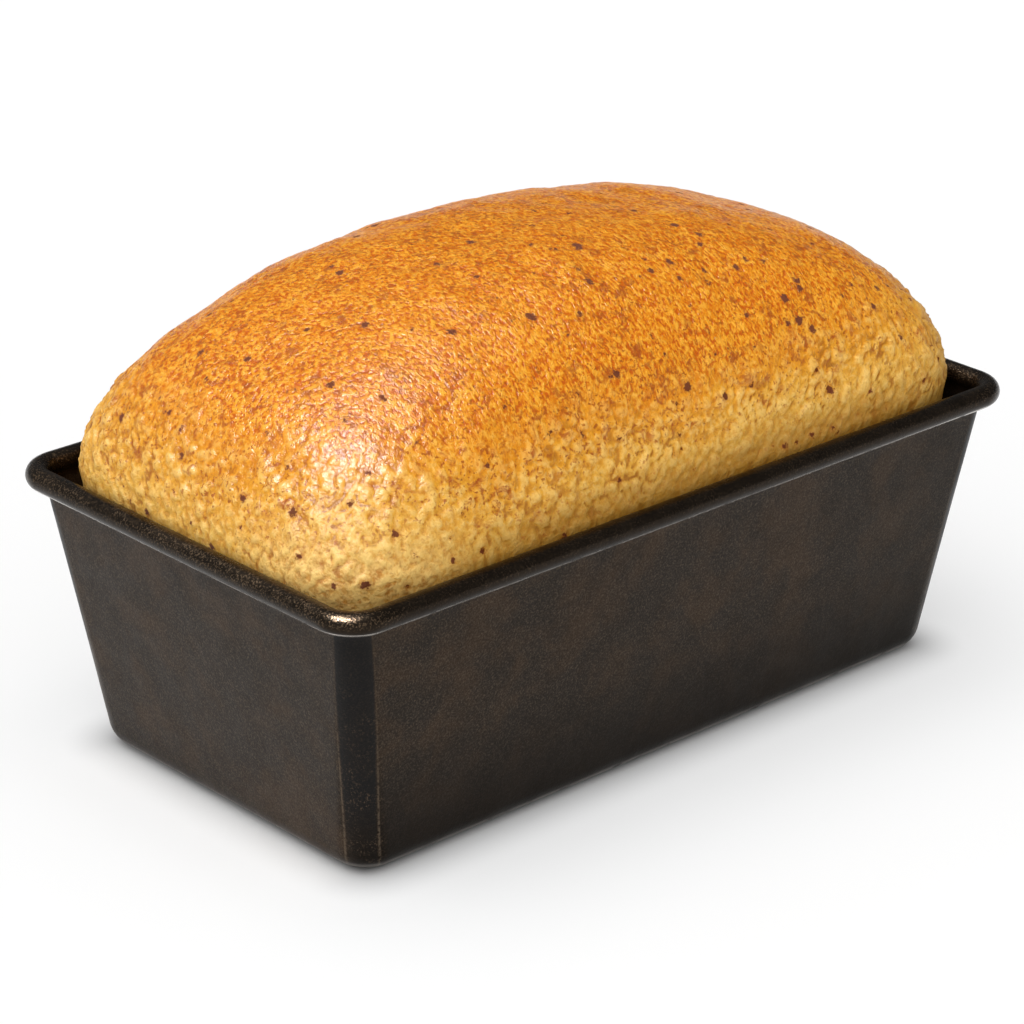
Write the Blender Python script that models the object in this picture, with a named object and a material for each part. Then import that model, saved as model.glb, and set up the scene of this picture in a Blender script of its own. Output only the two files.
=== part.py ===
"""Tin loaf: a tall loaf of bread, risen above the rim of the dark steel loaf tin that it was baked in.

Metres, +Z up, X along the tin and Y across it. The origin is the middle of the tin's underside, on the table.
"""

import math

import bmesh
import bpy
from mathutils import Vector, noise

MM = 0.001

# Tin: the middle line of the rolled rim, seen from above, and the tapered wall under it
RIM_HALF_LENGTH = 116.4 * MM
RIM_HALF_WIDTH = 65.5 * MM
RIM_CORNER_RADIUS = 8.7 * MM
RIM_HEIGHT = 76.9 * MM
RIM_RADIUS = 3.15 * MM
RIM_OUTSIDE_WALL = 1.5 * MM  # the rim's middle line stands this far outside the wall's outer face
BASE_HALF_LENGTH = 104.1 * MM
BASE_HALF_WIDTH = 54.0 * MM
BASE_CORNER_RADIUS = 9.9 * MM
BASE_EDGE_RADIUS = 5.8 * MM
SHEET_THICKNESS = 1.2 * MM
TIN_CORNER_STEPS = 8
EDGE_STEPS = 5
RIM_STEPS = 15

# Loaf: the part that fills the tin
LOAF_GAP = 0.4 * MM
LOAF_EDGE_RADIUS = 8.0 * MM
LOAF_EDGE_STEPS = 4
LOAF_SIDE_HEIGHTS = (RIM_HEIGHT, 68.0 * MM, 52.0 * MM, 36.0 * MM, 20.0 * MM)
LOAF_SQUARENESS = 7.1  # of its outline from above: 2 is an ellipse, and a high number is nearly a rectangle
LOAF_DIRECTIONS = 72

# Loaf: the crown, from the top of the rim upwards. Its ridge runs along X, and each section across it is an
# arch. Both fall from their top to their foot as (1 - share ** bend) ** (1 / steepness).
CROWN_START = 80.4 * MM
CROWN_HEIGHT = 56.6 * MM
CROWN_OVERHANG = 0.2 * MM  # how far the crown's foot reaches past the rim's inner side
CROWN_SHIFT = 0.12  # how far towards -X the ridge is highest, as a share of its half length
LEFT_BEND, LEFT_STEEPNESS = 2.0, 2.12
RIGHT_BEND, RIGHT_STEEPNESS = 1.85, 3.1
ARCH_BEND, ARCH_STEEPNESS = 2.67, 2.14
CROWN_RINGS = 24
LUMP_SIZE = 21.0 * MM
LUMP_HEIGHT = 0.6 * MM
LUMP_FADE = 12.0 * MM  # the lumps grow from nothing over this height above the rim

SHARP_ANGLE = math.radians(50)
OUTLINE_SAMPLES = 2000


def material(name, colour, roughness, metallic):
    made = bpy.data.materials.new(name)
    made.use_nodes = True
    shader = made.node_tree.nodes["Principled BSDF"]
    shader.inputs["Base Color"].default_value = (*colour, 1.0)
    shader.inputs["Roughness"].default_value = roughness
    shader.inputs["Metallic"].default_value = metallic
    return made


def loop_of_edges(mesh, points):
    corners = [mesh.verts.new(point) for point in points]
    return [mesh.edges.new((corners[i - 1], corners[i])) for i in range(len(corners))]


def lofted(rings):
    """A closed mesh through level rings of points, with a fan of faces over the first and the last ring."""
    mesh = bmesh.new()
    loops = [loop_of_edges(mesh, ring) for ring in rings]
    for loop, following in zip(loops, loops[1:]):
        bmesh.ops.bridge_loops(mesh, edges=loop + following)
    for loop in (loops[0], loops[-1]):
        cap = bmesh.ops.contextual_create(mesh, geom=loop)["faces"]
        bmesh.ops.poke(mesh, faces=cap)
    bmesh.ops.recalc_face_normals(mesh, faces=mesh.faces)
    return mesh


def object_of(name, mesh, finish):
    data = bpy.data.meshes.new(name)
    mesh.to_mesh(data)
    mesh.free()
    data.materials.append(finish)
    data.shade_smooth()
    data.set_sharp_from_angle(angle=SHARP_ANGLE)
    made = bpy.data.objects.new(name, data)
    bpy.context.scene.collection.objects.link(made)
    return made


def between(low, high, share):
    return low + (high - low) * share


def wall_size(height, inset):
    """Half length, half width and corner radius of the tin's wall at a height, inset from its outer face."""
    share = height / RIM_HEIGHT
    return (
        between(BASE_HALF_LENGTH, RIM_HALF_LENGTH - RIM_OUTSIDE_WALL, share) - inset,
        between(BASE_HALF_WIDTH, RIM_HALF_WIDTH - RIM_OUTSIDE_WALL, share) - inset,
        between(BASE_CORNER_RADIUS, RIM_CORNER_RADIUS - RIM_OUTSIDE_WALL, share) - inset,
    )


def rounded_rectangle(half_length, half_width, corner_radius, height):
    """Points of a level rounded rectangle, anticlockwise seen from above."""
    points = []
    for quarter, (sign_x, sign_y) in enumerate(((1, 1), (-1, 1), (-1, -1), (1, -1))):
        centre = Vector((sign_x * (half_length - corner_radius), sign_y * (half_width - corner_radius), height))
        for step in range(TIN_CORNER_STEPS + 1):
            angle = (quarter + step / TIN_CORNER_STEPS) * math.pi / 2
            points.append(centre + corner_radius * Vector((math.cos(angle), math.sin(angle), 0.0)))
    return points


def base_edge_ring(angle, radius, inset):
    """A ring on the rounded edge between wall and floor: angle 0 is on the wall and 90 degrees on the floor."""
    height = inset + radius * (1 - math.sin(angle))
    return rounded_rectangle(*wall_size(height, inset + radius * (1 - math.cos(angle))), height)


def rim_ring(angle):
    """A ring along the rolled rim: angle 0 is its outer side and 90 degrees its top."""
    outward = RIM_RADIUS * math.cos(angle)
    size = (RIM_HALF_LENGTH + outward, RIM_HALF_WIDTH + outward, RIM_CORNER_RADIUS + outward)
    return rounded_rectangle(*size, RIM_HEIGHT + RIM_RADIUS * math.sin(angle))


def tin_rings():
    """From the floor inside, up the inner face, over the rolled rim, down the outer face and under the floor."""
    edge_angles = [step / EDGE_STEPS * math.pi / 2 for step in range(EDGE_STEPS + 1)]
    inner_radius = BASE_EDGE_RADIUS - SHEET_THICKNESS
    rings = [base_edge_ring(angle, inner_radius, SHEET_THICKNESS) for angle in reversed(edge_angles)]
    meets_inner_face = math.pi + math.acos((RIM_OUTSIDE_WALL + SHEET_THICKNESS) / RIM_RADIUS)
    meets_outer_face = -math.pi + math.acos(RIM_OUTSIDE_WALL / RIM_RADIUS)
    for step in range(RIM_STEPS + 1):
        rings.append(rim_ring(between(meets_inner_face, meets_outer_face, step / RIM_STEPS)))
    rings += [base_edge_ring(angle, BASE_EDGE_RADIUS, 0.0) for angle in edge_angles]
    return rings


def outline_radius(angle, half_length, half_width):
    """Distance from the middle of a level outline of the loaf to its edge."""
    along = abs(math.cos(angle) / half_length) ** LOAF_SQUARENESS
    across = abs(math.sin(angle) / half_width) ** LOAF_SQUARENESS
    return (along + across) ** (-1 / LOAF_SQUARENESS)


def even_directions(half_length, half_width):
    """Angles from the middle of the loaf to points that lie evenly along its outline at the rim."""
    angles = [2 * math.pi * i / OUTLINE_SAMPLES for i in range(OUTLINE_SAMPLES + 1)]
    radii = [outline_radius(angle, half_length, half_width) for angle in angles]
    points = [Vector((r * math.cos(a), r * math.sin(a))) for a, r in zip(angles, radii)]
    spacing = sum((b - a).length for a, b in zip(points, points[1:])) / LOAF_DIRECTIONS
    chosen = []
    walked = 0.0
    for i in range(OUTLINE_SAMPLES):
        if walked >= len(chosen) * spacing and len(chosen) < LOAF_DIRECTIONS:
            chosen.append(angles[i])
        walked += (points[i + 1] - points[i]).length
    return chosen


def fall(share, bend, steepness):
    return max(1 - share**bend, 0.0) ** (1 / steepness)


def crown_height(x, y, half_length, half_width):
    """Height of the crown's surface above its foot."""
    along = min(max(x / half_length, -1.0), 1.0)
    from_top = along + CROWN_SHIFT * (1 - along**2)
    if from_top < 0:
        ridge = fall(-from_top, LEFT_BEND, LEFT_STEEPNESS)
    else:
        ridge = fall(from_top, RIGHT_BEND, RIGHT_STEEPNESS)
    reach = half_width * fall(abs(along), LOAF_SQUARENESS, LOAF_SQUARENESS)
    if reach <= abs(y):
        return 0.0
    return CROWN_HEIGHT * ridge * fall(abs(y) / reach, ARCH_BEND, ARCH_STEEPNESS)


def crown_ring(share, directions, half_length, half_width):
    """A ring of the crown's surface, at a share of the way from its middle to its foot."""
    ring = []
    for angle in directions:
        reach = share * outline_radius(angle, half_length, half_width)
        x = reach * math.cos(angle)
        y = reach * math.sin(angle)
        ring.append(Vector((x, y, CROWN_START + crown_height(x, y, half_length, half_width))))
    return ring


def side_ring(height, inset, directions):
    """A level ring of the loaf inside the tin, a small gap clear of the tin's inner face and of its rim."""
    wall_half_length, wall_half_width, _ = wall_size(height, inset)
    half_length = min(wall_half_length, RIM_HALF_LENGTH - RIM_RADIUS - LOAF_GAP)
    half_width = min(wall_half_width, RIM_HALF_WIDTH - RIM_RADIUS - LOAF_GAP)
    ring = []
    for angle in directions:
        reach = outline_radius(angle, half_length, half_width)
        ring.append(Vector((reach * math.cos(angle), reach * math.sin(angle), height)))
    return ring


def loaf_rings():
    """From the top of the crown down to the loaf's underside."""
    half_length = RIM_HALF_LENGTH - RIM_RADIUS + CROWN_OVERHANG
    half_width = RIM_HALF_WIDTH - RIM_RADIUS + CROWN_OVERHANG
    directions = even_directions(half_length, half_width)
    rings = []
    for ring in range(1, CROWN_RINGS + 1):
        share = math.sin(ring / CROWN_RINGS * math.pi / 2)
        rings.append(crown_ring(share, directions, half_length, half_width))
    clear_of_wall = SHEET_THICKNESS + LOAF_GAP
    rings += [side_ring(height, clear_of_wall, directions) for height in LOAF_SIDE_HEIGHTS]
    for step in range(LOAF_EDGE_STEPS + 1):
        angle = step / LOAF_EDGE_STEPS * math.pi / 2
        height = clear_of_wall + LOAF_EDGE_RADIUS * (1 - math.sin(angle))
        inset = clear_of_wall + LOAF_EDGE_RADIUS * (1 - math.cos(angle))
        rings.append(side_ring(height, inset, directions))
    return rings


def raise_lumps(mesh):
    """Moves the crown's points in and out a little, since risen dough is never quite even."""
    mesh.normal_update()
    for vertex in mesh.verts:
        grown = min(max((vertex.co.z - CROWN_START) / LUMP_FADE, 0.0), 1.0)
        vertex.co += vertex.normal * LUMP_HEIGHT * grown * noise.noise(vertex.co / LUMP_SIZE)


def make_tin():
    steel = material("seasoned_steel", (0.030, 0.026, 0.024), 0.42, 0.85)
    return object_of("tin", lofted(tin_rings()), steel)


def make_loaf():
    crust = material("golden_crust", (0.58, 0.27, 0.07), 0.5, 0.0)
    mesh = lofted(loaf_rings())
    raise_lumps(mesh)
    return object_of("loaf", mesh, crust)


for left_over in list(bpy.data.objects):
    bpy.data.objects.remove(left_over)
make_tin()
make_loaf()
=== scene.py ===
"""The looks of the tin loaf: a golden loaf of bread standing above the rolled rim of its dark steel tin.

Metres, in the CAD model's frame: +Z up, X along the tin and Y across it, with the origin in the middle of the
tin's underside. The photo looks at the corner towards -X and -Y, which is called the near corner here.
"""

import math

import bpy
import numpy as np
from mathutils import Matrix, Vector, noise


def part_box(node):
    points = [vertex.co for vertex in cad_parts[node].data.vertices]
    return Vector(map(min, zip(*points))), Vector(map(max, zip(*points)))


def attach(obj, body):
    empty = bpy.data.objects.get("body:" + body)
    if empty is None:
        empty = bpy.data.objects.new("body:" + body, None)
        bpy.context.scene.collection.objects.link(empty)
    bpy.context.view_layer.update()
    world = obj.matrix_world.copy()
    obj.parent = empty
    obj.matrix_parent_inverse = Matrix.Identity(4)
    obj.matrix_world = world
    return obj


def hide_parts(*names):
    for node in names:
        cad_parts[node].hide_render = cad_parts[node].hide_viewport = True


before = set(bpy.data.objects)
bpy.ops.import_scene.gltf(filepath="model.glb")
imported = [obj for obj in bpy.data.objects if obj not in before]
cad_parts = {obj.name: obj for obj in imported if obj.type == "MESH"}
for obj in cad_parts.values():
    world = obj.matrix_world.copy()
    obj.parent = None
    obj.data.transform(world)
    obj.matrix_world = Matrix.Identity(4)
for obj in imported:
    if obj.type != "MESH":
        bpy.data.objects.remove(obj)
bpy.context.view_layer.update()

MM = 0.001

# Tin, as the CAD model has it
RIM_HALF_LENGTH = 116.4 * MM
RIM_HALF_WIDTH = 65.5 * MM
RIM_CORNER_RADIUS = 8.7 * MM
RIM_HEIGHT = 76.9 * MM
RIM_RADIUS = 3.15 * MM
RIM_OUTSIDE_WALL = 1.5 * MM
BASE_HALF_LENGTH = 104.1 * MM
BASE_HALF_WIDTH = 54.0 * MM
BASE_CORNER_RADIUS = 9.9 * MM
BASE_EDGE_RADIUS = 5.8 * MM
SHEET_THICKNESS = 1.2 * MM

# Tin: the finer surface
TIN_CORNER_STEPS = 22
TIN_LONG_STEPS = 64
TIN_SHORT_STEPS = 36
TIN_WALL_STEPS = 30
TIN_RIM_STEPS = 34
TIN_EDGE_STEPS = 10
WALL_WAVE = 0.18 * MM
WALL_WAVE_SIZE = 45 * MM
WALL_WAVE_INWARDS = 0.5  # the share of WALL_WAVE that the wall lies inwards on average
WALL_WAVE_FADE = 20 * MM  # the wall's waves grow from nothing over this height above the base edge
RIM_WAVE = 0.05 * MM
RIM_WAVE_SIZE = 5 * MM
RIM_WAVE_MIDDLE = 0.6  # the share of RIM_WAVE that the rim is dented on average, and varies by
RIM_INSET = 0.045 * MM  # keeps the finer rim inside the CAD one's flat faces
BASE_EDGE_WEAR = 0.55
RIM_LINE_ANGLE = math.radians(-46)  # the sheet's cut edge shows as a light line low on the rim's outer side
RIM_LINE_WIDTH = 0.22  # radians round the rim

# Loaf, as the CAD model has it
LOAF_GAP = 0.4 * MM
LOAF_EDGE_RADIUS = 8.0 * MM
LOAF_SIDE_HEIGHTS = (RIM_HEIGHT, 68.0 * MM, 52.0 * MM, 36.0 * MM, 20.0 * MM)
LOAF_SQUARENESS = 7.1
CROWN_START = 80.4 * MM
CROWN_HEIGHT = 56.6 * MM
CROWN_OVERHANG = 0.2 * MM
CROWN_SHIFT = 0.12
LEFT_BEND, LEFT_STEEPNESS = 2.0, 2.12
RIGHT_BEND, RIGHT_STEEPNESS = 1.85, 3.1
ARCH_BEND, ARCH_STEEPNESS = 2.67, 2.14
LUMP_SIZE = 21.0 * MM
LUMP_HEIGHT = 0.6 * MM
LUMP_FADE = 12.0 * MM

# Loaf: the finer surface
CROWN_CELLS_LONG = 336
CROWN_CELLS_WIDE = 232
LOAF_EDGE_STEPS = 4
DIRECTION_SAMPLES = 2880
SHARE_SAMPLES = 400
DIMPLE_SIZE = 9.0 * MM
DIMPLE_HEIGHT = 0.42 * MM
PEBBLE_SIZE = 3.4 * MM
SMALL_PEBBLE_SIZE = PEBBLE_SIZE / 1.9
SMALL_PEBBLE_SHARE = 0.5
PEBBLE_HEIGHT_SIDE = 0.90 * MM
PEBBLE_HEIGHT_TOP = 0.18 * MM
PEBBLE_FULL = 0.6  # the noise at which a pebble has its usual height
PEBBLE_TALLEST = 1.3  # the tallest pebble, as a share of the usual height
PEBBLE_GROUND = 0.75  # the share of the usual height that lies on the smooth surface
PEBBLE_LEAST = 0.25  # the share of their height that the pebbles have at the crown's foot
PEBBLE_FADE = 2.5 * MM  # from this height above the crown's foot they have all of it
HIDDEN_PEBBLE = 0.4  # how pebbly the loaf counts as inside the tin
SMOOTH_TOP_START = 14 * MM  # above the crown's foot: the pebbly side turns into the smooth top from here
SMOOTH_TOP_SPAN = 20 * MM
SMOOTH_TOP_WAVE = 0.35
SMOOTH_TOP_WAVE_SIZE = 24 * MM
CLEAR_OF_BOX = 0.05 * MM  # keeps the crown's top under the CAD loaf's highest point
LEAST_SHARE = 1e-9  # this and the next keep divisions by nothing away
LEAST_LENGTH = 1e-12
LEAST_AREA = 1e-15  # a face with less counts as having none

# Turns the noise, whose own grid would otherwise show on the straight walls and rim
GRAIN_TURN = (0.62, 0.41, 0.53)

# Steel: its colours
STEEL_DARK = (0.0175, 0.0130, 0.0096)
STEEL_PALE = (0.0260, 0.0194, 0.0142)
STEEL_BLOOM = (0.052, 0.0300, 0.0155)
SPECKLE_PALE = (0.085, 0.062, 0.043)
SPECKLE_DARK = (0.010, 0.008, 0.007)
# painted shade: the foot of the long sides and the end at +X are darkened, standing in for the shadowed floor
# that they reflect
TIN_FOOT_SHADE = (0.009, 0.006, 0.0035)
TIN_END_SHADE = (0.009, 0.008, 0.006)
# painted shade: the corner strip is darkened, standing in for the dark reflection that a corner shows
CORNER_PAINTED_SHADE = (0.0115, 0.0118, 0.0122)
CREASE_WEAR = (0.15, 0.110, 0.075)
SCUFF_BROWN = (0.14, 0.095, 0.060)
RIM_DARK = (0.011, 0.0080, 0.0058)
RIM_BROWN = (0.028, 0.0200, 0.0135)
RIM_FLECK = (0.130, 0.088, 0.054)
BARE_STEEL = (0.50, 0.46, 0.42)

# Steel: where its marks begin and where they are full
# where the painted shade at the foot of the long sides lies, then where the painted shade towards the +X end
# grows
TIN_FOOT_SHADE_ACROSS = (46 * MM, 52 * MM)  # the long sides and the corners lie outside this
TIN_FOOT_SHADE_HEIGHTS = (40 * MM, 4 * MM)
TIN_END_SHADE_SPAN = (35 * MM, 105 * MM)
# the strip of painted shade on a corner, and the worn creases along it, get narrower towards the base
FOLD_NARROWS = (70 * MM, 0.0)  # the dark strip on a corner gets narrower towards the base
FOLD_NARROWED = -0.46
# the corner's painted shade is weaker at the first height and stronger from the second
CORNER_SHADE_HEIGHTS = (4 * MM, 30 * MM)
WORN_HEIGHTS = (70 * MM, 6 * MM)
RIM_UPPER = (RIM_HEIGHT - 0.4 * RIM_RADIUS, RIM_HEIGHT + 0.3 * RIM_RADIUS)
RIM_ENDS = (95 * MM, 112 * MM)

# Steel: the noise of each mark, as the size of its features, detail, roughness, distortion and seed
TONE_NOISE = (14 * MM, 3.0, 0.55, 0.0, 1.0)
BLOOM_NOISE = (16 * MM, 5.0, 0.60, 0.2, 4.0)
SPECKLE_NOISE = (0.5 * MM, 2.0, 0.6, 0.0, 9.0)
CREASE_NOISE = (1.3 * MM, 4.0, 0.7, 0.3, 61.0)
SCUFF_NOISE = (0.6 * MM, 4.0, 0.7, 0.7, 13.0)
SCUFF_STRETCH = (1.0, 1.0, 0.8)
SCUFF_PATCH_NOISE = (5 * MM, 4.0, 0.7, 0.4, 14.0)
RIM_TONE_NOISE = (5 * MM, 3.0, 0.6, 0.0, 17.0)
FLECK_NOISE = (0.50 * MM, 2.0, 0.6, 0.3, 19.0)
FLECK_PATCH_NOISE = (20 * MM, 2.0, 0.5, 0.0, 23.0)
BARE_EDGE_NOISE = (6 * MM, 3.0, 0.6, 0.0, 29.0)
GLOSS_NOISE = (9 * MM, 3.0, 0.6, 0.0, 31.0)
FINE_BUMP_NOISE = (0.45 * MM, 2.0, 0.6, 0.0, 37.0)
WIDE_BUMP_NOISE = (2.2 * MM, 3.0, 0.6, 0.0, 41.0)

# Steel: how rough it is, and each bump's depth and strength
WALL_ROUGHNESS = (0.38, 0.48)
RIM_SMOOTHER = -0.17
FLECK_ROUGHER = 0.06
FINE_BUMP = (0.05 * MM, 0.6)
WIDE_BUMP = (0.10 * MM, 0.45)
FLECK_BUMP = (0.09 * MM, 0.8)

# Crust: its colours
CRUST_BY_LEVEL = (
    (0.00, (0.78, 0.450, 0.085)),
    (0.12, (0.79, 0.440, 0.065)),
    (0.22, (0.80, 0.410, 0.045)),
    (0.34, (0.80, 0.365, 0.025)),
    (0.48, (0.80, 0.310, 0.013)),
    (0.68, (0.78, 0.265, 0.008)),
    (1.00, (0.76, 0.250, 0.007)),
)
MOTTLE_DARK = (0.66, 0.175, 0.003)
MOTTLE_PALE = (0.90, 0.440, 0.050)
# dough-pale colour at the near corner's foot: partly the crust's own paleness, partly painted light over the
# shade along the rim
PALE_DOUGH_AND_LIGHT = (0.98, 0.640, 0.210)
# painted shade in each hollow of the pale near corner's foot
HOLLOW_PAINTED_SHADE = (0.48, 0.170, 0.012)
PEBBLE_PALE = (0.90, 0.600, 0.180)
STROKE_DARK_SIDE = (0.62, 0.240, 0.010)
STROKE_DARK_TOP = (0.55, 0.100, 0.002)
STROKE_PALE_SIDE = (0.93, 0.610, 0.185)
STROKE_PALE_TOP = (0.94, 0.445, 0.040)
# painted shade in each crevice between the side's pebbles
CREVICE_PAINTED_SHADE = (0.36, 0.112, 0.006)
# painted shade on the crust's foot along the rim
CRUST_FOOT_SHADE = (0.34, 0.145, 0.010)
# painted shade towards the end at +X
CRUST_END_SHADE = (0.40, 0.190, 0.030)
SPECK_BROWN = (0.36, 0.082, 0.006)
SMUDGE_BROWN = (0.38, 0.080, 0.009)
PIT_HALO = (0.45, 0.130, 0.010)
PIT_DARK = (0.13, 0.022, 0.002)

# Crust: where it is browner or paler, and where painted shade and painted light lie
END_BROWNING = 0.07  # the baked level falls by this much from the loaf's middle to its end at +X
PALE_CORNER = (-110 * MM, -60 * MM)
PALE_REACH = 45 * MM
PALE_CORE = 0.3 * PALE_REACH
PALE_LOWER = -0.12
LEVEL_SHIFT = 0.03
LEVEL_WAVE = 0.42
PALE_FOOT_SPAN = (0.30, 0.04)  # shares of the crown's height, from the rim up
# where the painted shade on the crust's foot lies: its heights, then where it grows in from the near end and
# thins towards the far end
CRUST_FOOT_SHADE_SPAN = (0.24, 0.02)
CRUST_FOOT_SHADE_NEAR = (-100 * MM, -50 * MM)
CRUST_FOOT_SHADE_FAR = (100 * MM, 70 * MM)
# where the painted shade towards the +X end grows
CRUST_END_SHADE_SPAN = (78 * MM, 113 * MM)

# Crust: the noise of each mark, as the size of its features, detail, roughness, distortion and seed
BAKING_NOISE = (16 * MM, 4.0, 0.6, 0.4, 2.0)
MOTTLE_NOISE = (3.4 * MM, 3.0, 0.55, 0.6, 47.0)
HOLLOW_NOISE = (3.2 * MM, 4.0, 0.6, 0.2, 67.0)
LONG_STROKE_NOISE = (0.92 * MM, 2.5, 0.55, 0.45, 5.0)
LONG_STROKE_STRETCH = (1.0, 0.70, 0.62)
ROUND_STROKE_NOISE = (1.6 * MM, 3.0, 0.60, 0.3, 6.0)
CREVICE_NOISE = (14 * MM, 3.0, 0.6, 0.0, 53.0)
FRECKLE_PATCH_NOISE = (13 * MM, 3.0, 0.6, 0.0, 7.0)
SPECK_NOISE = (1.1 * MM, 2.0, 0.5, 0.2, 25.0)
SMUDGE_NOISE = (3.4 * MM, 4.0, 0.65, 0.7, 9.0)
PIT_EDGE_NOISE = (0.8 * MM, 2.0, 0.6, 0.0, 43.0)
PIT_SCATTER_NOISE = (17 * MM, 2.0, 0.6, 0.0, 71.0)
SKIN_NOISE = (0.6 * MM, 1.0, 0.5, 0.5, 15.0)
SKIN_STRETCH = (1.0, 0.6, 0.6)

# Crust: its pits, how rough it is, and each bump's depth and strength
PIT_SPACING = 6.5 * MM
PIT_SEED = 3.0
PIT_WOBBLE = 1.2 * MM
PIT_WOBBLE_SIZE = 1.6 * MM
PIT_RAGGEDNESS = 0.34
PIT_RARENESS = 0.14
SIDE_ROUGHNESS, TOP_ROUGHNESS = 0.60, 0.29
PIT_ROUGHER = 0.70
SKIN_BUMP = (0.12 * MM, 0.6)
STROKE_BUMP = (0.70 * MM, 0.8)

# Light and camera
FLOOR_SIZE = 12.0
FLOOR_BRIGHTNESS = 0.47
FLOOR_GLOW = 0.47
# the floor's glow near the tin's base, lowered there as a painted contact shadow
CONTACT_GLOW = 0.0
CONTACT_REACH = 20 * MM
CONTACT_CURVE = 0.65
CONTACT_EDGE = 0.12
SKY_BRIGHT = 0.78
SKY_DIM = 0.07
SKY_DIM_TOWARDS = (0.88, 0.47, 0.0)
FILL_STRENGTH = 1.29
FILL_ANGLE = math.radians(110)
FILL_FROM = Vector((-0.30, -0.22, 0.93))
KEY_STRENGTH = 1.15
KEY_ANGLE = math.radians(56)
KEY_FROM = Vector((-0.20, 0.08, 0.97))
SPARK_STRENGTH = 19.4
SPARK_ANGLE = math.radians(30)
SPARK_FROM = Vector((-0.485, -0.035, 0.83))
CAMERA_AZIMUTH = math.radians(-42.35)
CAMERA_ELEVATION = math.radians(23.24)
CAMERA_ROLL = math.radians(0.17)
CAMERA_DISTANCE = 1.02885
CAMERA_TARGET = Vector((-0.00489, 0.0, 0.05447))
CAMERA_LENS = 135.1
CAMERA_SENSOR = 36.0
CAMERA_CLIP = (0.05, 50.0)


def between(low, high, share):
    return low + (high - low) * share


def smooth_step(value):
    value = np.clip(value, 0.0, 1.0)
    return value * value * (3 - 2 * value)


def noise_at(points, size, seed=0.0):
    """Smooth noise of about -1 to 1 at each point, with features of the given size."""
    shift = Vector((seed, seed * 0.37, -seed * 0.71))
    return np.array([noise.noise(Vector(point) / size + shift) for point in points])


def object_from(name, points, faces, masks):
    """A smooth mesh object whose points hold the masks, for its material to read."""
    mesh = bpy.data.meshes.new(name)
    mesh.from_pydata(points.tolist(), [], faces)
    for mask_name, values in masks.items():
        mask = mesh.attributes.new(mask_name, "FLOAT", "POINT")
        mask.data.foreach_set("value", values.astype(np.float32))
    mesh.shade_smooth()
    mesh.update()
    made = bpy.data.objects.new(name, mesh)
    bpy.context.scene.collection.objects.link(made)
    return made


# The tin

def wall_size(height, inset):
    """Half length, half width and corner radius of the tin's wall at a height, inset from its outer face."""
    share = height / RIM_HEIGHT
    return (
        between(BASE_HALF_LENGTH, RIM_HALF_LENGTH - RIM_OUTSIDE_WALL, share) - inset,
        between(BASE_HALF_WIDTH, RIM_HALF_WIDTH - RIM_OUTSIDE_WALL, share) - inset,
        between(BASE_CORNER_RADIUS, RIM_CORNER_RADIUS - RIM_OUTSIDE_WALL, share) - inset,
    )


def rounded_rectangle(half_length, half_width, corner_radius, height):
    """Points of a level rounded rectangle, with (cornerness, outward x, outward y) of each."""
    points = []
    facts = []
    quarters = ((1, 1), (-1, 1), (-1, -1), (1, -1))
    inner = np.array((half_length - corner_radius, half_width - corner_radius))
    centres = [inner * quarter for quarter in quarters]
    for quarter, centre in enumerate(centres):
        for step in range(TIN_CORNER_STEPS + 1):
            share = step / TIN_CORNER_STEPS
            angle = (quarter + share) * math.pi / 2
            out = np.array((math.cos(angle), math.sin(angle)))
            points.append((*(centre + corner_radius * out), height))
            facts.append((math.sin(share * math.pi), *out))
        steps = TIN_LONG_STEPS if quarter % 2 == 0 else TIN_SHORT_STEPS
        start = centre + corner_radius * out
        end = centres[(quarter + 1) % len(centres)] + corner_radius * out
        for step in range(1, steps):
            points.append((*between(start, end, step / steps), height))
            facts.append((0.0, *out))
    return np.array(points), np.array(facts)


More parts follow.
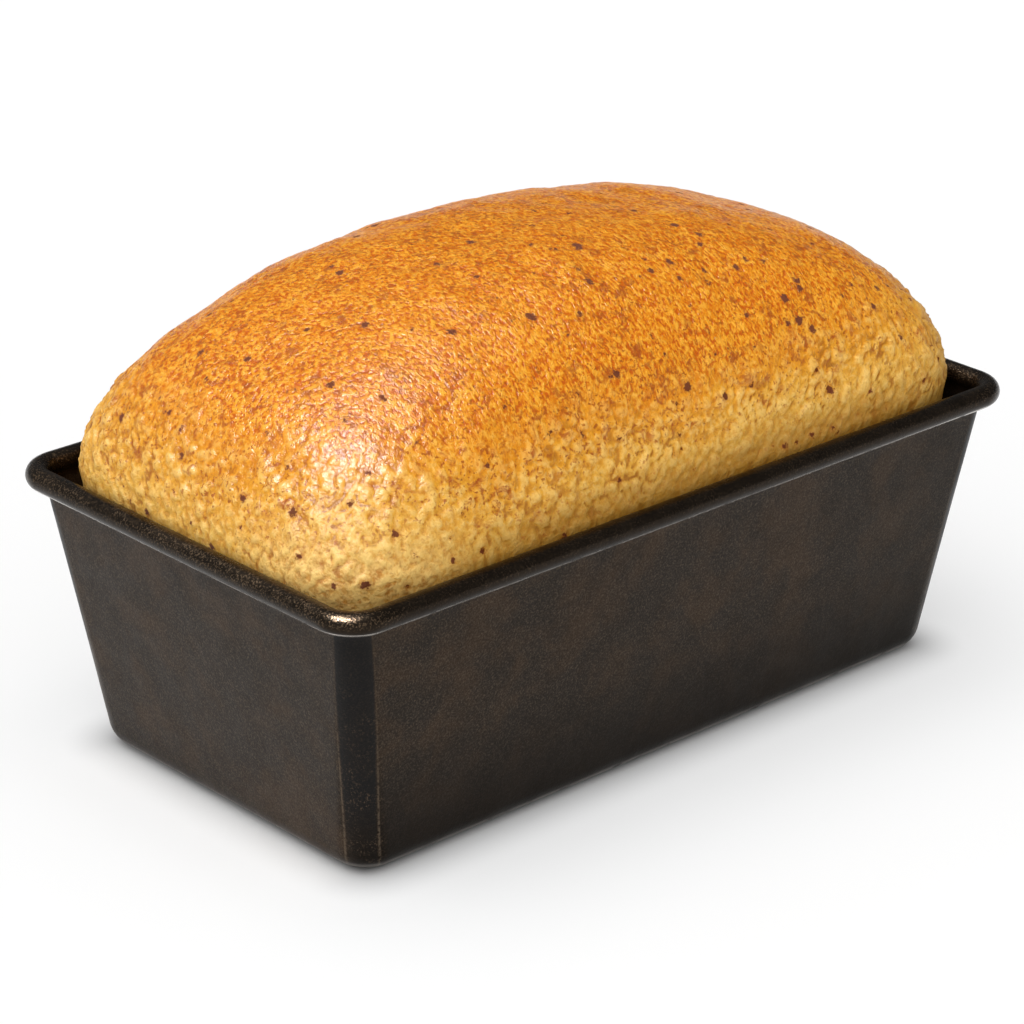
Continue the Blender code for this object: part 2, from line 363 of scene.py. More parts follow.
def tin_rings():
    """(points, facts, rim share, wear) of each ring, from the floor inside over the rim to the underside."""
    rings = []

    def add(size, height, rim=0.0, wear=0.0):
        points, facts = rounded_rectangle(*size, height)
        rings.append((points, facts, rim, wear))

    def add_base_edge(angles, radius, inset, most_wear):
        for angle in angles:
            height = inset + radius * (1 - math.sin(angle))
            size = wall_size(height, inset + radius * (1 - math.cos(angle)))
            add(size, height, wear=most_wear * math.sin(angle * 2) ** 2)

    def add_wall(low, high, inset):
        for step in range(1, TIN_WALL_STEPS):
            height = between(low, high, step / TIN_WALL_STEPS)
            add(wall_size(height, inset), height)

    edge_angles = [step / TIN_EDGE_STEPS * math.pi / 2 for step in range(TIN_EDGE_STEPS + 1)]
    inner_radius = BASE_EDGE_RADIUS - SHEET_THICKNESS
    meets_inner_face = math.pi + math.acos((RIM_OUTSIDE_WALL + SHEET_THICKNESS) / RIM_RADIUS)
    meets_outer_face = -math.pi + math.acos(RIM_OUTSIDE_WALL / RIM_RADIUS)
    inner_top = RIM_HEIGHT + RIM_RADIUS * math.sin(meets_inner_face)
    outer_top = RIM_HEIGHT + RIM_RADIUS * math.sin(meets_outer_face)

    add_base_edge(reversed(edge_angles), inner_radius, SHEET_THICKNESS, 0.0)
    add_wall(SHEET_THICKNESS + inner_radius, inner_top, SHEET_THICKNESS)
    for step in range(TIN_RIM_STEPS + 1):
        angle = between(meets_inner_face, meets_outer_face, step / TIN_RIM_STEPS)
        outward = RIM_RADIUS * math.cos(angle)
        size = (RIM_HALF_LENGTH + outward, RIM_HALF_WIDTH + outward, RIM_CORNER_RADIUS + outward)
        wear = math.exp(-(((angle - RIM_LINE_ANGLE) / RIM_LINE_WIDTH) ** 2))
        add(size, RIM_HEIGHT + RIM_RADIUS * math.sin(angle), rim=1.0, wear=wear)
    add_wall(outer_top, BASE_EDGE_RADIUS, 0.0)
    add_base_edge(edge_angles, BASE_EDGE_RADIUS, 0.0, BASE_EDGE_WEAR)
    return rings


def make_uneven(points, facts, rim):
    """Makes the wall and the rolled rim a little uneven, as pressed sheet is. Nothing moves at the base."""
    held = smooth_step((points[:, 2] - BASE_EDGE_RADIUS) / WALL_WAVE_FADE) * (1 - rim)
    wave = WALL_WAVE * noise_at(points, WALL_WAVE_SIZE, seed=3.0) * held
    wave -= WALL_WAVE * WALL_WAVE_INWARDS * held
    dents = RIM_WAVE_MIDDLE + RIM_WAVE_MIDDLE * noise_at(points, RIM_WAVE_SIZE, seed=8.0)
    wave -= rim * (RIM_INSET + RIM_WAVE * np.maximum(dents, 0.0))
    points[:, :2] += facts[:, 1:] * wave[:, None]


def make_tin():
    rings = tin_rings()
    count = len(rings[0][0])
    points = np.concatenate([ring[0] for ring in rings])
    facts = np.concatenate([ring[1] for ring in rings])
    rim = np.repeat([ring[2] for ring in rings], count)
    wear = np.repeat([ring[3] for ring in rings], count)
    make_uneven(points, facts, rim)

    faces = []
    for ring in range(len(rings) - 1):
        low = ring * count
        high = low + count
        for i in range(count):
            j = (i + 1) % count
            faces.append((high + i, high + j, low + j, low + i))
    last = (len(rings) - 1) * count
    inside_middle = len(points)
    under_middle = inside_middle + 1
    points = np.vstack([points, (0, 0, points[0, 2]), (0, 0, points[-1, 2])])
    for i in range(count):
        j = (i + 1) % count
        faces.append((i, j, inside_middle))
        faces.append((last + j, last + i, under_middle))
    middles = np.zeros(2)
    masks = {
        "corner": np.concatenate([facts[:, 0], middles]),
        "rim": np.concatenate([rim, middles]),
        "wear": np.concatenate([wear, middles]),
    }
    tin = object_from("tin_shell", points, faces, masks)
    tin.data.materials.append(steel_material())
    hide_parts("tin")
    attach(tin, "root")


# The loaf

def outline_radius(angle, half_length, half_width):
    """Distance from the middle of a level outline of the loaf to its edge."""
    along = np.abs(np.cos(angle) / half_length) ** LOAF_SQUARENESS
    across = np.abs(np.sin(angle) / half_width) ** LOAF_SQUARENESS
    return (along + across) ** (-1 / LOAF_SQUARENESS)


def fall(share, bend, steepness):
    return np.clip(1 - np.clip(share, 0, None) ** bend, 0.0, None) ** (1 / steepness)


def crown_height(x, y, half_length, half_width):
    """Height of the crown's surface above its foot."""
    along = np.clip(x / half_length, -1.0, 1.0)
    from_top = along + CROWN_SHIFT * (1 - along**2)
    left = fall(-np.minimum(from_top, 0), LEFT_BEND, LEFT_STEEPNESS)
    right = fall(np.maximum(from_top, 0), RIGHT_BEND, RIGHT_STEEPNESS)
    ridge = np.where(from_top < 0, left, right)
    reach = half_width * fall(np.abs(along), LOAF_SQUARENESS, LOAF_SQUARENESS)
    across = np.abs(y) / np.maximum(reach, LEAST_SHARE)
    arch = np.where(across < 1, fall(np.minimum(across, 1), ARCH_BEND, ARCH_STEEPNESS), 0.0)
    return CROWN_HEIGHT * ridge * arch


def even_shares(half_length, half_width):
    """For each direction from the middle, the shares of the way to the foot that are evenly far apart on the
    surface."""
    angles = np.linspace(-math.pi, math.pi, DIRECTION_SAMPLES + 1)
    radii = outline_radius(angles, half_length, half_width)
    steps = np.linspace(0, 1, SHARE_SAMPLES + 1)
    shares = 1 - (1 - steps) ** 3
    reach = radii[:, None] * shares[None, :]
    x = reach * np.cos(angles)[:, None]
    y = reach * np.sin(angles)[:, None]
    z = crown_height(x, y, half_length, half_width)
    lengths = np.sqrt(np.diff(reach, axis=1) ** 2 + np.diff(z, axis=1) ** 2)
    walked = np.concatenate([np.zeros((len(angles), 1)), np.cumsum(lengths, axis=1)], axis=1)
    walked /= walked[:, -1:]
    return np.array([np.interp(steps, row, shares) for row in walked])


def table_at(table, rows, columns):
    """The table's value between its entries."""
    just_inside = 1.001
    rows = np.clip(rows, 0, table.shape[0] - just_inside)
    columns = np.clip(columns, 0, table.shape[1] - just_inside)
    row = rows.astype(int)
    column = columns.astype(int)
    down = rows - row
    right = columns - column
    top = between(table[row, column], table[row, column + 1], right)
    bottom = between(table[row + 1, column], table[row + 1, column + 1], right)
    return between(top, bottom, down)


def crown_points(half_length, half_width):
    """A grid of points over the crown, whose border is its foot."""
    long_way = np.linspace(-1, 1, CROWN_CELLS_LONG + 1)
    wide_way = np.linspace(-1, 1, CROWN_CELLS_WIDE + 1)
    s, t = np.meshgrid(long_way, wide_way, indexing="ij")
    s = s.ravel()
    t = t.ravel()
    ring = np.maximum(np.maximum(np.abs(s), np.abs(t)), LEAST_SHARE)
    powers = np.abs(s / ring) ** LOAF_SQUARENESS + np.abs(t / ring) ** LOAF_SQUARENESS
    size = np.maximum(powers ** (1 / LOAF_SQUARENESS), LEAST_SHARE)
    foot_x = half_length * s / ring / size
    foot_y = half_width * t / ring / size
    angle = np.arctan2(foot_y, foot_x)
    table = even_shares(half_length, half_width)
    share = table_at(table, (angle / (2 * math.pi) + 0.5) * DIRECTION_SAMPLES, ring * SHARE_SAMPLES)
    share = np.where(ring >= 1 - LEAST_SHARE, 1.0, share)
    x = foot_x * share
    y = foot_y * share
    return np.column_stack([x, y, CROWN_START + crown_height(x, y, half_length, half_width)])


def grid_number(i, j):
    return i * (CROWN_CELLS_WIDE + 1) + j


def grid_border():
    """The numbers of the crown grid's border points, anticlockwise seen from above."""
    long_way = range(CROWN_CELLS_LONG)
    wide_way = range(CROWN_CELLS_WIDE)
    border = [grid_number(i, 0) for i in long_way]
    border += [grid_number(CROWN_CELLS_LONG, j) for j in wide_way]
    border += [grid_number(CROWN_CELLS_LONG - i, CROWN_CELLS_WIDE) for i in long_way]
    border += [grid_number(0, CROWN_CELLS_WIDE - j) for j in wide_way]
    return border


def side_ring(height, inset, angles):
    """A level ring of the loaf inside the tin, a small gap clear of the tin's inner face and of its rim."""
    wall_half_length, wall_half_width, _ = wall_size(height, inset)
    half_length = min(wall_half_length, RIM_HALF_LENGTH - RIM_RADIUS - LOAF_GAP)
    half_width = min(wall_half_width, RIM_HALF_WIDTH - RIM_RADIUS - LOAF_GAP)
    reach = outline_radius(angles, half_length, half_width)
    return np.column_stack([reach * np.cos(angles), reach * np.sin(angles), np.full(len(angles), height)])


def side_rings(angles):
    """The loaf's rings from the rim down to its underside."""
    clear_of_wall = SHEET_THICKNESS + LOAF_GAP
    rings = [side_ring(height, clear_of_wall, angles) for height in LOAF_SIDE_HEIGHTS]
    for step in range(LOAF_EDGE_STEPS + 1):
        angle = step / LOAF_EDGE_STEPS * math.pi / 2
        height = clear_of_wall + LOAF_EDGE_RADIUS * (1 - math.sin(angle))
        inset = clear_of_wall + LOAF_EDGE_RADIUS * (1 - math.cos(angle))
        rings.append(side_ring(height, inset, angles))
    return rings


def loaf_mesh():
    """The loaf's points and faces, and how many of the points are the crown's, which come first."""
    half_length = RIM_HALF_LENGTH - RIM_RADIUS + CROWN_OVERHANG
    half_width = RIM_HALF_WIDTH - RIM_RADIUS + CROWN_OVERHANG
    points = crown_points(half_length, half_width)
    crown_count = len(points)
    faces = []
    for i in range(CROWN_CELLS_LONG):
        for j in range(CROWN_CELLS_WIDE):
            first = grid_number(i, j)
            second = grid_number(i + 1, j)
            faces.append((first, second, second + 1, first + 1))
    border = grid_border()
    foot = points[border]
    rings = side_rings(np.arctan2(foot[:, 1], foot[:, 0]))
    count = len(border)
    numbers = [border]
    for k in range(len(rings)):
        first = crown_count + k * count
        numbers.append(range(first, first + count))
    for upper, lower in zip(numbers, numbers[1:]):
        for i in range(count):
            j = (i + 1) % count
            faces.append((upper[j], upper[i], lower[i], lower[j]))
    lowest = numbers[-1]
    points = np.vstack([points] + rings + [(0, 0, rings[-1][0, 2])])
    middle = len(points) - 1
    for i in range(count):
        faces.append((lowest[(i + 1) % count], lowest[i], middle))
    return points, faces, crown_count


def normals_of(points, faces):
    """The direction that the surface faces at each point."""
    quads = np.array([face if len(face) == 4 else (*face, face[2]) for face in faces])
    corners = points[quads]
    facing = np.cross(corners[:, 2] - corners[:, 0], corners[:, 3] - corners[:, 1])
    short = np.linalg.norm(facing, axis=1) < LEAST_AREA
    facing[short] = np.cross(corners[short, 1] - corners[short, 0], corners[short, 2] - corners[short, 0])
    normals = np.zeros_like(points)
    for k in range(4):
        np.add.at(normals, quads[:, k], facing)
    return normals / np.maximum(np.linalg.norm(normals, axis=1), LEAST_LENGTH)[:, None]


def raise_relief(crown, normals):
    """Raises lumps, dimples and pebbles on the crown. Gives how pebbly and how much top each point is."""
    above = crown[:, 2] - CROWN_START
    grown = np.clip(above / LUMP_FADE, 0.0, 1.0)
    wavy = SMOOTH_TOP_WAVE * noise_at(crown, SMOOTH_TOP_WAVE_SIZE, seed=5.0)
    top = smooth_step((above - SMOOTH_TOP_START) / SMOOTH_TOP_SPAN + wavy)
    moved = LUMP_HEIGHT * grown * noise_at(crown, LUMP_SIZE)
    moved += DIMPLE_HEIGHT * grown * noise_at(crown, DIMPLE_SIZE, seed=11.0)
    pebble = np.abs(noise_at(crown, PEBBLE_SIZE, seed=21.0))
    pebble += SMALL_PEBBLE_SHARE * np.abs(noise_at(crown, SMALL_PEBBLE_SIZE, seed=33.0))
    pebble = np.clip(pebble / PEBBLE_FULL, 0, PEBBLE_TALLEST)
    depth = between(PEBBLE_HEIGHT_SIDE, PEBBLE_HEIGHT_TOP, top)
    fade = np.clip(above / PEBBLE_FADE, PEBBLE_LEAST, 1.0)
    moved += depth * fade * (pebble - PEBBLE_GROUND)
    crown += normals * moved[:, None]
    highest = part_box("loaf")[1].z
    crown[:, 2] = np.minimum(crown[:, 2], highest - CLEAR_OF_BOX)
    return np.clip(pebble, 0, 1), top


def make_loaf():
    points, faces, crown_count = loaf_mesh()
    normals = normals_of(points, faces)
    pebble, top = raise_relief(points[:crown_count], normals[:crown_count])
    hidden = len(points) - crown_count
    masks = {
        "pebble": np.concatenate([pebble, np.full(hidden, HIDDEN_PEBBLE)]),
        "top": np.concatenate([top, np.zeros(hidden)]),
    }
    loaf = object_from("loaf_crust", points, faces, masks)
    loaf.data.materials.append(crust_material())
    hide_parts("loaf")
    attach(loaf, "root")


# Materials

class Shader:
    """A material's node tree, with a short call for each kind of node."""

    def __init__(self, name):
        self.material = bpy.data.materials.new(name)
        self.material.use_nodes = True
        self.tree = self.material.node_tree
        self.surface = self.tree.nodes["Principled BSDF"]
        self.place = self.node("ShaderNodeTexCoord").outputs["Object"]

    def node(self, kind):
        return self.tree.nodes.new(kind)

    def put(self, value, socket):
        if isinstance(value, bpy.types.NodeSocket):
            self.tree.links.new(value, socket)
        elif isinstance(value, tuple):
            socket.default_value = (*value, 1.0)
        else:
            socket.default_value = value

    def mask(self, name):
        node = self.node("ShaderNodeAttribute")
        node.attribute_name = name
        return node.outputs["Fac"]

    def moved(self, seed, stretch=(1.0, 1.0, 1.0)):
        """The place on the object, turned, and moved so that each seed gives other noise."""
        node = self.node("ShaderNodeMapping")
        self.tree.links.new(self.place, node.inputs["Vector"])
        node.inputs["Location"].default_value = (seed, seed * 0.7, seed * 1.3)
        node.inputs["Rotation"].default_value = GRAIN_TURN
        node.inputs["Scale"].default_value = stretch
        return node.outputs["Vector"]

    def noise(self, size, detail, roughness, distortion, seed, stretch=(1.0, 1.0, 1.0)):
        """Noise of 0 to 1 with features of about this size in metres."""
        node = self.node("ShaderNodeTexNoise")
        self.tree.links.new(self.moved(seed, stretch), node.inputs["Vector"])
        node.inputs["Scale"].default_value = 1 / size
        node.inputs["Detail"].default_value = detail
        node.inputs["Roughness"].default_value = roughness
        node.inputs["Distortion"].default_value = distortion
        return node.outputs["Fac"]

    def cells(self, size, seed, wobble, wobble_size):
        """Distance from the middle of the nearest cell, in cell sizes, and the cell's own random number."""
        waves = self.node("ShaderNodeTexNoise")
        self.tree.links.new(self.place, waves.inputs["Vector"])
        waves.inputs["Scale"].default_value = 1 / wobble_size
        waves.inputs["Detail"].default_value = 3.0
        scaled = self.node("ShaderNodeVectorMath")
        scaled.operation = "MULTIPLY_ADD"
        self.tree.links.new(waves.outputs["Color"], scaled.inputs[0])
        scaled.inputs[1].default_value = (wobble,) * 3
        self.tree.links.new(self.moved(seed), scaled.inputs[2])
        node = self.node("ShaderNodeTexVoronoi")
        self.tree.links.new(scaled.outputs["Vector"], node.inputs["Vector"])
        node.inputs["Scale"].default_value = 1 / size
        return node.outputs["Distance"], self.split(node.outputs["Color"])[0]

    def split(self, vector):
        node = self.node("ShaderNodeSeparateXYZ")
        self.tree.links.new(vector, node.inputs["Vector"])
        return node.outputs["X"], node.outputs["Y"], node.outputs["Z"]

    def range(self, value, low, high, to_low=0.0, to_high=1.0):
        """A smooth change from to_low, where the value is low, to to_high, where it is high."""
        node = self.node("ShaderNodeMapRange")
        node.interpolation_type = "SMOOTHSTEP"
        self.put(value, node.inputs["Value"])
        node.inputs["From Min"].default_value = low
        node.inputs["From Max"].default_value = high
        node.inputs["To Min"].default_value = to_low
        node.inputs["To Max"].default_value = to_high
        return node.outputs["Result"]

    def math(self, operation, first, second=0.0):
        node = self.node("ShaderNodeMath")
        node.operation = operation
        self.put(first, node.inputs[0])
        self.put(second, node.inputs[1])
        return node.outputs["Value"]

    def add(self, total, *others):
        for other in others:
            total = self.math("ADD", total, other)
        return total

    def minus(self, first, second):
        return self.math("SUBTRACT", first, second)

    def times(self, product, *others):
        for other in others:
            product = self.math("MULTIPLY", product, other)
        return product

    def mix(self, share, first, second):
        node = self.node("ShaderNodeMix")
        node.data_type = "RGBA"
        self.put(share, node.inputs["Factor"])
        self.put(first, node.inputs[6])
        self.put(second, node.inputs[7])
        return node.outputs[2]

    def paint(self, under, colour, strength, where):
        """The colour over what is under it, at most this strong, where the mask says."""
        return self.mix(self.times(where, strength), under, colour)

    def ramp(self, value, stops):
        node = self.node("ShaderNodeValToRGB")
        elements = node.color_ramp.elements
        while len(elements) < len(stops):
            elements.new(0.5)
        for element, (place, colour) in zip(elements, stops):
            element.position = place
            element.color = (*colour, 1.0)
        self.put(value, node.inputs["Fac"])
        return node.outputs["Color"]

    def bump(self, height, distance, strength, under=None):
        node = self.node("ShaderNodeBump")
        self.put(height, node.inputs["Height"])
        node.inputs["Distance"].default_value = distance
        node.inputs["Strength"].default_value = strength
        if under is not None:
            self.tree.links.new(under, node.inputs["Normal"])
        return node.outputs["Normal"]

    def finish(self, colour, roughness, normal, metallic, specular):
        self.put(colour, self.surface.inputs["Base Color"])
        self.put(roughness, self.surface.inputs["Roughness"])
        self.put(normal, self.surface.inputs["Normal"])
        self.surface.inputs["Metallic"].default_value = metallic
        self.surface.inputs["Specular IOR Level"].default_value = specular
        return self.material


def steel_wall(s, along, across, up):
    """The tin's wall: near black with a brown bloom and fine speckle, with painted shade at the foot of the
    long sides and towards the end at +X.
    """
    colour = s.mix(s.noise(*TONE_NOISE), STEEL_DARK, STEEL_PALE)
    bloom = s.range(s.noise(*BLOOM_NOISE), 0.40, 0.68)
    colour = s.paint(colour, STEEL_BLOOM, 0.65, bloom)
    speckle = s.noise(*SPECKLE_NOISE)
    colour = s.mix(s.range(speckle, 0.45, 0.75, 0.0, 0.8), colour, SPECKLE_PALE)
    colour = s.mix(s.range(speckle, 0.5, 0.25, 0.0, 0.6), colour, SPECKLE_DARK)
    # painted shade at the foot of the long sides
    foot_shade = s.times(s.range(s.math("ABSOLUTE", across), *TIN_FOOT_SHADE_ACROSS), s.range(up, *TIN_FOOT_SHADE_HEIGHTS))
    colour = s.paint(colour, TIN_FOOT_SHADE, 0.85, foot_shade)
    # painted shade towards the end at +X
    return s.mix(s.range(along, *TIN_END_SHADE_SPAN, 0.0, 0.25), colour, TIN_END_SHADE)


def steel_corners(s, colour, corner, up):
    """Over the wall: a strip of painted shade on each corner, standing in for the dark reflection it shows, a
    worn crease along both its sides, and brown scuffs.
    """
    fold = s.add(corner, s.range(up, *FOLD_NARROWS, 0.0, FOLD_NARROWED))
    # painted shade on the corner strip
    dark = s.times(s.range(fold, 0.16, 0.34), s.range(up, *CORNER_SHADE_HEIGHTS, 0.30, 0.85))
    colour = s.mix(dark, colour, CORNER_PAINTED_SHADE)
    worn_down = s.range(up, *WORN_HEIGHTS, 0.15, 1.0)
    crease = s.times(s.range(fold, 0.07, 0.15), s.range(fold, 0.26, 0.15))
    broken = s.range(s.noise(*CREASE_NOISE), 0.36, 0.56)
    colour = s.paint(colour, CREASE_WEAR, 0.60, s.times(crease, broken, worn_down))
    scuff = s.range(s.noise(*SCUFF_NOISE, stretch=SCUFF_STRETCH), 0.52, 0.68)
    patches = s.range(s.noise(*SCUFF_PATCH_NOISE), 0.44, 0.64)
    scuff = s.times(scuff, patches, worn_down, s.range(corner, 0.10, 0.30))
    return s.paint(colour, SCUFF_BROWN, 0.75, scuff)


def steel_material():
    """Seasoned steel: a dark wall with painted shade on its corners, at the foot of its long sides and
    towards its end at +X, and a glossier rim with fine worn flecks on top.
    """
    s = Shader("seasoned_steel")
    corner = s.mask("corner")
    rim = s.mask("rim")
    wear = s.mask("wear")
    along, across, up = s.split(s.place)
    wall = steel_corners(s, steel_wall(s, along, across, up), corner, up)

    rim_colour = s.mix(s.noise(*RIM_TONE_NOISE), RIM_DARK, RIM_BROWN)
    grain = s.noise(*FLECK_NOISE)
    patches = s.range(s.noise(*FLECK_PATCH_NOISE), 0.38, 0.62)
    upper = s.range(up, *RIM_UPPER)
    flecks = s.times(s.range(grain, 0.50, 0.66), s.range(patches, 0.0, 1.0, 0.80, 1.0), upper)
    flecks = s.times(flecks, s.range(s.math("ABSOLUTE", along), *RIM_ENDS, 0.35, 1.0))
    colour = s.mix(rim, wall, s.paint(rim_colour, RIM_FLECK, 0.75, flecks))
    broken = s.range(s.noise(*BARE_EDGE_NOISE), 0.25, 0.5)
    colour = s.paint(colour, BARE_STEEL, 0.9, s.times(s.range(wear, 0.25, 0.75), broken))

    rough = s.range(s.noise(*GLOSS_NOISE), 0.3, 0.7, *WALL_ROUGHNESS)
    rough = s.add(rough, s.times(rim, RIM_SMOOTHER), s.times(flecks, FLECK_ROUGHER))
    normal = s.bump(s.noise(*WIDE_BUMP_NOISE), *WIDE_BUMP)
    normal = s.bump(s.noise(*FINE_BUMP_NOISE), *FINE_BUMP, normal)
    normal = s.bump(s.times(grain, rim, upper), *FLECK_BUMP, normal)
    return s.finish(colour, rough, normal, metallic=0.9, specular=0.2)


def near_corner_paleness(s, along, across):
    """1 at the pale corner of the loaf and 0 where its reach ends."""
    squares = []
    for place, corner in zip((along, across), PALE_CORNER):
        past = s.minus(place, corner)
        squares.append(s.times(past, past))
    return s.range(s.math("SQRT", s.add(*squares)), PALE_REACH, PALE_CORE)


def browning_level(s, height, along, pale):
    """How far the crust is baked, from 0 at the rim to 1 on the crown, with soft waves."""
    waves = s.times(s.minus(s.noise(*BAKING_NOISE), 0.5), LEVEL_WAVE)
    level = s.add(height, waves, s.times(along, -END_BROWNING / RIM_HALF_LENGTH))
    return s.add(level, LEVEL_SHIFT, s.times(pale, PALE_LOWER))


def crust_ground(s, level, height, pale, pebble, top, side):
    """The crust's colour under its strokes and spots: mottled, pale on pebbles, and dough-pale at the near
    corner's foot, partly its own paleness and partly painted light over the shade along the rim, with painted
    shade in each hollow there.
    """
    colour = s.ramp(level, CRUST_BY_LEVEL)
    mottle = s.noise(*MOTTLE_NOISE)
    darker = s.times(s.range(mottle, 0.50, 0.36), s.range(top, 0.0, 1.0, 0.15, 0.70))
    colour = s.mix(darker, colour, MOTTLE_DARK)
    colour = s.mix(s.range(mottle, 0.52, 0.66, 0.0, 0.50), colour, MOTTLE_PALE)
    # partly the crust's own paleness, partly painted light over the shade along the rim
    doughy_and_lit = s.times(pale, s.range(height, *PALE_FOOT_SPAN))
    colour = s.paint(colour, PALE_DOUGH_AND_LIGHT, 0.65, doughy_and_lit)
    # painted shade in each hollow of the pale near corner's foot
    hollow_shade = s.times(s.range(s.noise(*HOLLOW_NOISE), 0.48, 0.36), doughy_and_lit)
    colour = s.paint(colour, HOLLOW_PAINTED_SHADE, 0.85, hollow_shade)
    return s.paint(colour, PEBBLE_PALE, 0.50, s.times(s.range(pebble, 0.40, 0.95), side))


def crust_strokes(s, colour, stroke, top):
    """Over the ground: the fine dark and light strokes of the baked skin."""
    dark = s.times(s.range(stroke, 0.49, 0.37), s.range(top, 0.0, 1.0, 0.50, 0.95))
    colour = s.mix(dark, colour, s.mix(top, STROKE_DARK_SIDE, STROKE_DARK_TOP))
    light = s.times(s.range(stroke, 0.51, 0.64), s.range(top, 0.0, 1.0, 0.50, 0.80))
    return s.mix(light, colour, s.mix(top, STROKE_PALE_SIDE, STROKE_PALE_TOP))


def crust_painted_shade(s, colour, height, along, pebble, side):
    """Over the strokes: painted shade between the pebbles, along the rim and towards the end at +X."""
    clusters = s.range(s.noise(*CREVICE_NOISE), 0.46, 0.60, 0.25, 1.0)
    # painted shade in each crevice between the side's pebbles
    crevice_shade = s.times(s.range(pebble, 0.50, 0.20), side, clusters)
    colour = s.paint(colour, CREVICE_PAINTED_SHADE, 0.85, crevice_shade)
    # painted shade on the crust's foot along the rim
    foot = s.times(s.range(height, *CRUST_FOOT_SHADE_SPAN), s.range(along, *CRUST_FOOT_SHADE_NEAR))
    foot = s.times(foot, s.range(along, *CRUST_FOOT_SHADE_FAR, 0.15, 1.0))
    colour = s.paint(colour, CRUST_FOOT_SHADE, 0.68, foot)
    # painted shade towards the end at +X
    return s.mix(s.range(along, *CRUST_END_SHADE_SPAN, 0.0, 0.50), colour, CRUST_END_SHADE)


def crust_freckles(s, colour, level):
    """Over the browning: small specks and soft smudges, in patches."""
    patch = s.range(s.noise(*FRECKLE_PATCH_NOISE), 0.36, 0.56)
    speck = s.range(s.noise(*SPECK_NOISE), 0.57, 0.69)
    speck = s.times(speck, s.range(patch, 0.0, 1.0, 0.28, 0.9), s.range(level, 0.00, 0.35, 0.25, 1.0))
    colour = s.mix(speck, colour, SPECK_BROWN)
    smudge = s.range(s.noise(*SMUDGE_NOISE), 0.50, 0.66)
    smudge = s.times(smudge, patch, s.range(level, 0.12, 0.40))
    return s.paint(colour, SMUDGE_BROWN, 0.85, smudge)


def pit_distance(s, level):
    """Small in the ragged dark pits. Each cell has room for one, and many are left out at random."""
    distance, chance = s.cells(PIT_SPACING, PIT_SEED, PIT_WOBBLE, PIT_WOBBLE_SIZE)
    ragged = s.times(s.minus(s.noise(*PIT_EDGE_NOISE), 0.5), PIT_RAGGEDNESS)
    scattered = s.range(s.noise(*PIT_SCATTER_NOISE), 0.38, 0.62, 0.05, -0.04)
    fewer_below = s.range(level, 0.05, 0.30, 0.03, 0.0)
    return s.add(distance, ragged, s.times(chance, PIT_RARENESS), scattered, fewer_below)


def crust_material():
    """Baked crust: glossy golden brown on top with freckles and pits, pale, matt and pebbly near the tin,
    with painted shade in each crevice, along the rim and towards the +X end, and painted light at the near
    corner's foot.
    """
    s = Shader("golden_crust")
    top = s.mask("top")
    pebble = s.mask("pebble")
    side = s.minus(1.0, top)
    along, across, up = s.split(s.place)
    height = s.times(s.minus(up, CROWN_START), 1 / CROWN_HEIGHT)
    pale = near_corner_paleness(s, along, across)
    level = browning_level(s, height, along, pale)
    long_stroke = s.noise(*LONG_STROKE_NOISE, stretch=LONG_STROKE_STRETCH)
    round_stroke = s.noise(*ROUND_STROKE_NOISE)
    stroke = s.add(s.times(long_stroke, top), s.times(round_stroke, side))

    colour = crust_ground(s, level, height, pale, pebble, top, side)
    colour = crust_strokes(s, colour, stroke, top)
    colour = crust_painted_shade(s, colour, height, along, pebble, side)
    colour = crust_freckles(s, colour, level)
    to_pit = pit_distance(s, level)
    colour = s.paint(colour, PIT_HALO, 0.55, s.range(to_pit, 0.34, 0.10))
    pit = s.range(to_pit, 0.215, 0.150)
    colour = s.paint(colour, PIT_DARK, 0.95, pit)

    rough = s.range(level, 0.12, 0.46, SIDE_ROUGHNESS, TOP_ROUGHNESS)
    rough = s.add(rough, s.times(pit, PIT_ROUGHER))
    normal = s.bump(s.noise(*SKIN_NOISE, stretch=SKIN_STRETCH), *SKIN_BUMP)
    normal = s.bump(stroke, *STROKE_BUMP, normal)
    return s.finish(colour, rough, normal, metallic=0.0, specular=0.17)


# The studio

def floor_material():
    """Pale and evenly glowing, with the glow fading out where the tin stands on it: a painted contact shadow.
    """
    s = Shader("studio_floor")
    along, across, _ = s.split(s.place)
    squares = []
    for place, half_size in ((along, BASE_HALF_LENGTH), (across, BASE_HALF_WIDTH)):
        past = s.minus(s.math("ABSOLUTE", place), half_size - BASE_EDGE_RADIUS)
        past = s.math("MAXIMUM", past, 0.0)
        squares.append(s.times(past, past))
    away = s.math("SQRT", s.add(*squares))
    near = s.math("POWER", s.math("DIVIDE", away, CONTACT_REACH), CONTACT_CURVE)
    glow = s.range(near, CONTACT_EDGE, 1.0, CONTACT_GLOW, FLOOR_GLOW)
    shader = s.surface
    s.put((FLOOR_BRIGHTNESS,) * 3, shader.inputs["Base Color"])
    s.put((1.0, 1.0, 1.0), shader.inputs["Emission Color"])
    s.put(glow, shader.inputs["Emission Strength"])
    shader.inputs["Roughness"].default_value = 1.0
    shader.inputs["Specular IOR Level"].default_value = 0.0
    return s.material


def make_floor():
    mesh = bpy.data.meshes.new("studio_floor")
    half = FLOOR_SIZE / 2
    corners = [(-half, -half, 0), (half, -half, 0), (half, half, 0), (-half, half, 0)]
    mesh.from_pydata(corners, [], [(0, 1, 2, 3)])
    mesh.materials.append(floor_material())
    floor = bpy.data.objects.new("studio_floor", mesh)
    bpy.context.scene.collection.objects.link(floor)


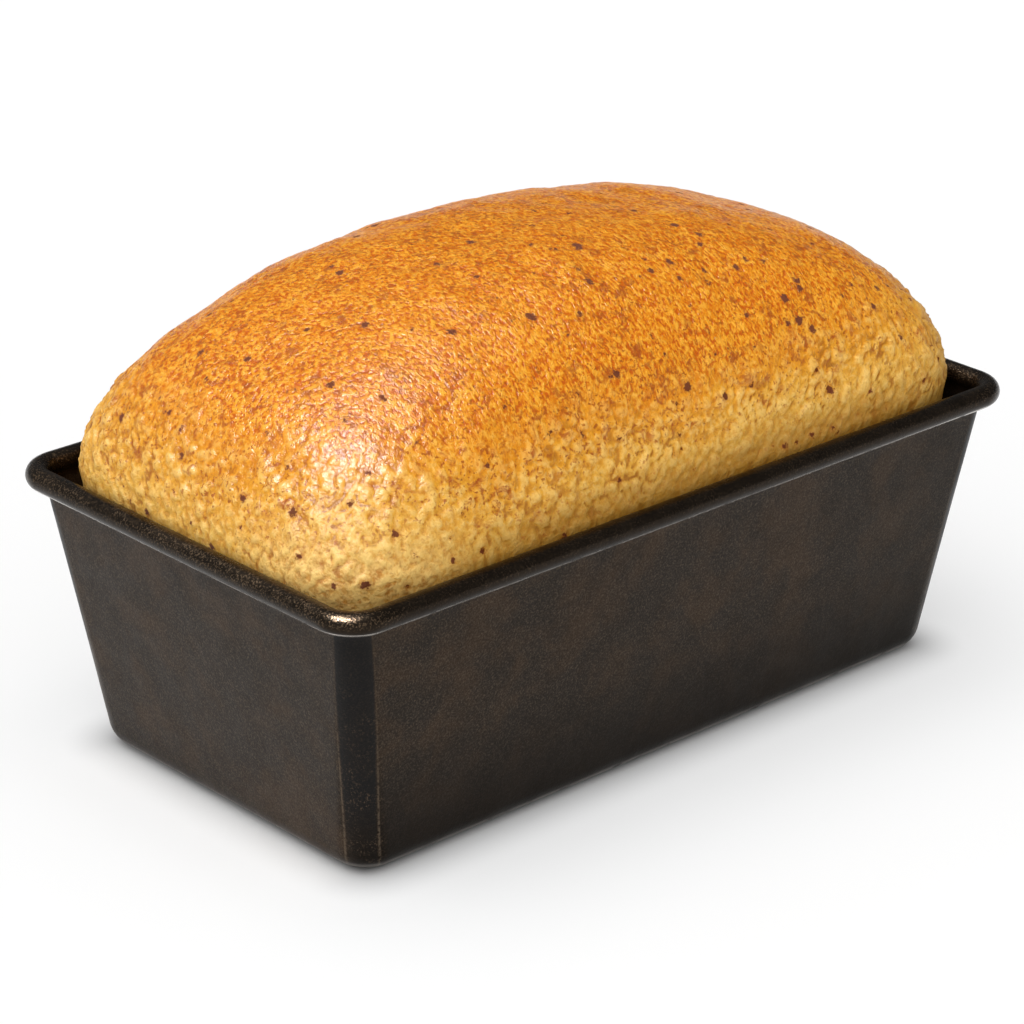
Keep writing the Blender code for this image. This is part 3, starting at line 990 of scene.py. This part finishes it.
def make_world():
    """A white sky that gets dim towards one side."""
    world = bpy.data.worlds.new("studio_world")
    world.use_nodes = True
    tree = world.node_tree
    backdrop = tree.nodes["Background"]
    direction = tree.nodes.new("ShaderNodeTexCoord")
    along = tree.nodes.new("ShaderNodeVectorMath")
    along.operation = "DOT_PRODUCT"
    along.inputs[1].default_value = SKY_DIM_TOWARDS
    spread = tree.nodes.new("ShaderNodeMapRange")
    spread.inputs["From Min"].default_value = -1.0
    spread.inputs["From Max"].default_value = 1.0
    shades = tree.nodes.new("ShaderNodeValToRGB")
    for element, brightness in zip(shades.color_ramp.elements, (SKY_BRIGHT, SKY_DIM)):
        element.color = (brightness, brightness, brightness, 1.0)
    tree.links.new(direction.outputs["Generated"], along.inputs[0])
    tree.links.new(along.outputs["Value"], spread.inputs["Value"])
    tree.links.new(spread.outputs["Result"], shades.inputs["Fac"])
    tree.links.new(shades.outputs["Color"], backdrop.inputs["Color"])
    backdrop.inputs["Strength"].default_value = 1.0
    bpy.context.scene.world = world


def make_light(name, strength, angle, comes_from, on_matt, on_glossy):
    """A sun that lights matt surfaces, shows in glossy ones, or both."""
    light = bpy.data.lights.new(name, "SUN")
    light.energy = strength
    light.angle = angle
    lamp = bpy.data.objects.new(name, light)
    lamp.rotation_euler = comes_from.to_track_quat("Z", "Y").to_euler()
    lamp.location = comes_from
    lamp.visible_diffuse = on_matt
    lamp.visible_glossy = on_glossy
    bpy.context.scene.collection.objects.link(lamp)


def make_camera():
    back = Vector((
        math.sin(CAMERA_AZIMUTH) * math.cos(CAMERA_ELEVATION),
        -math.cos(CAMERA_AZIMUTH) * math.cos(CAMERA_ELEVATION),
        math.sin(CAMERA_ELEVATION),
    ))
    right = (-back).cross(Vector((0, 0, 1))).normalized()
    up = right.cross(-back)
    rolled_right = right * math.cos(CAMERA_ROLL) + up * math.sin(CAMERA_ROLL)
    rolled_up = up * math.cos(CAMERA_ROLL) - right * math.sin(CAMERA_ROLL)
    lens = bpy.data.cameras.new("camera")
    lens.lens = CAMERA_LENS
    lens.sensor_width = CAMERA_SENSOR
    lens.clip_start, lens.clip_end = CAMERA_CLIP
    camera = bpy.data.objects.new("camera", lens)
    turned = Matrix((rolled_right, rolled_up, back)).transposed().to_4x4()
    camera.matrix_world = Matrix.Translation(CAMERA_TARGET + back * CAMERA_DISTANCE) @ turned
    bpy.context.scene.collection.objects.link(camera)
    bpy.context.scene.camera = camera


make_camera()
make_floor()
make_world()
make_light("fill_light", FILL_STRENGTH, FILL_ANGLE, FILL_FROM, on_matt=True, on_glossy=False)
make_light("key_light", KEY_STRENGTH, KEY_ANGLE, KEY_FROM, on_matt=True, on_glossy=True)
make_light("spark_light", SPARK_STRENGTH, SPARK_ANGLE, SPARK_FROM, on_matt=False, on_glossy=True)
make_tin()
make_loaf()
bpy.context.scene.view_settings.view_transform = "Standard"
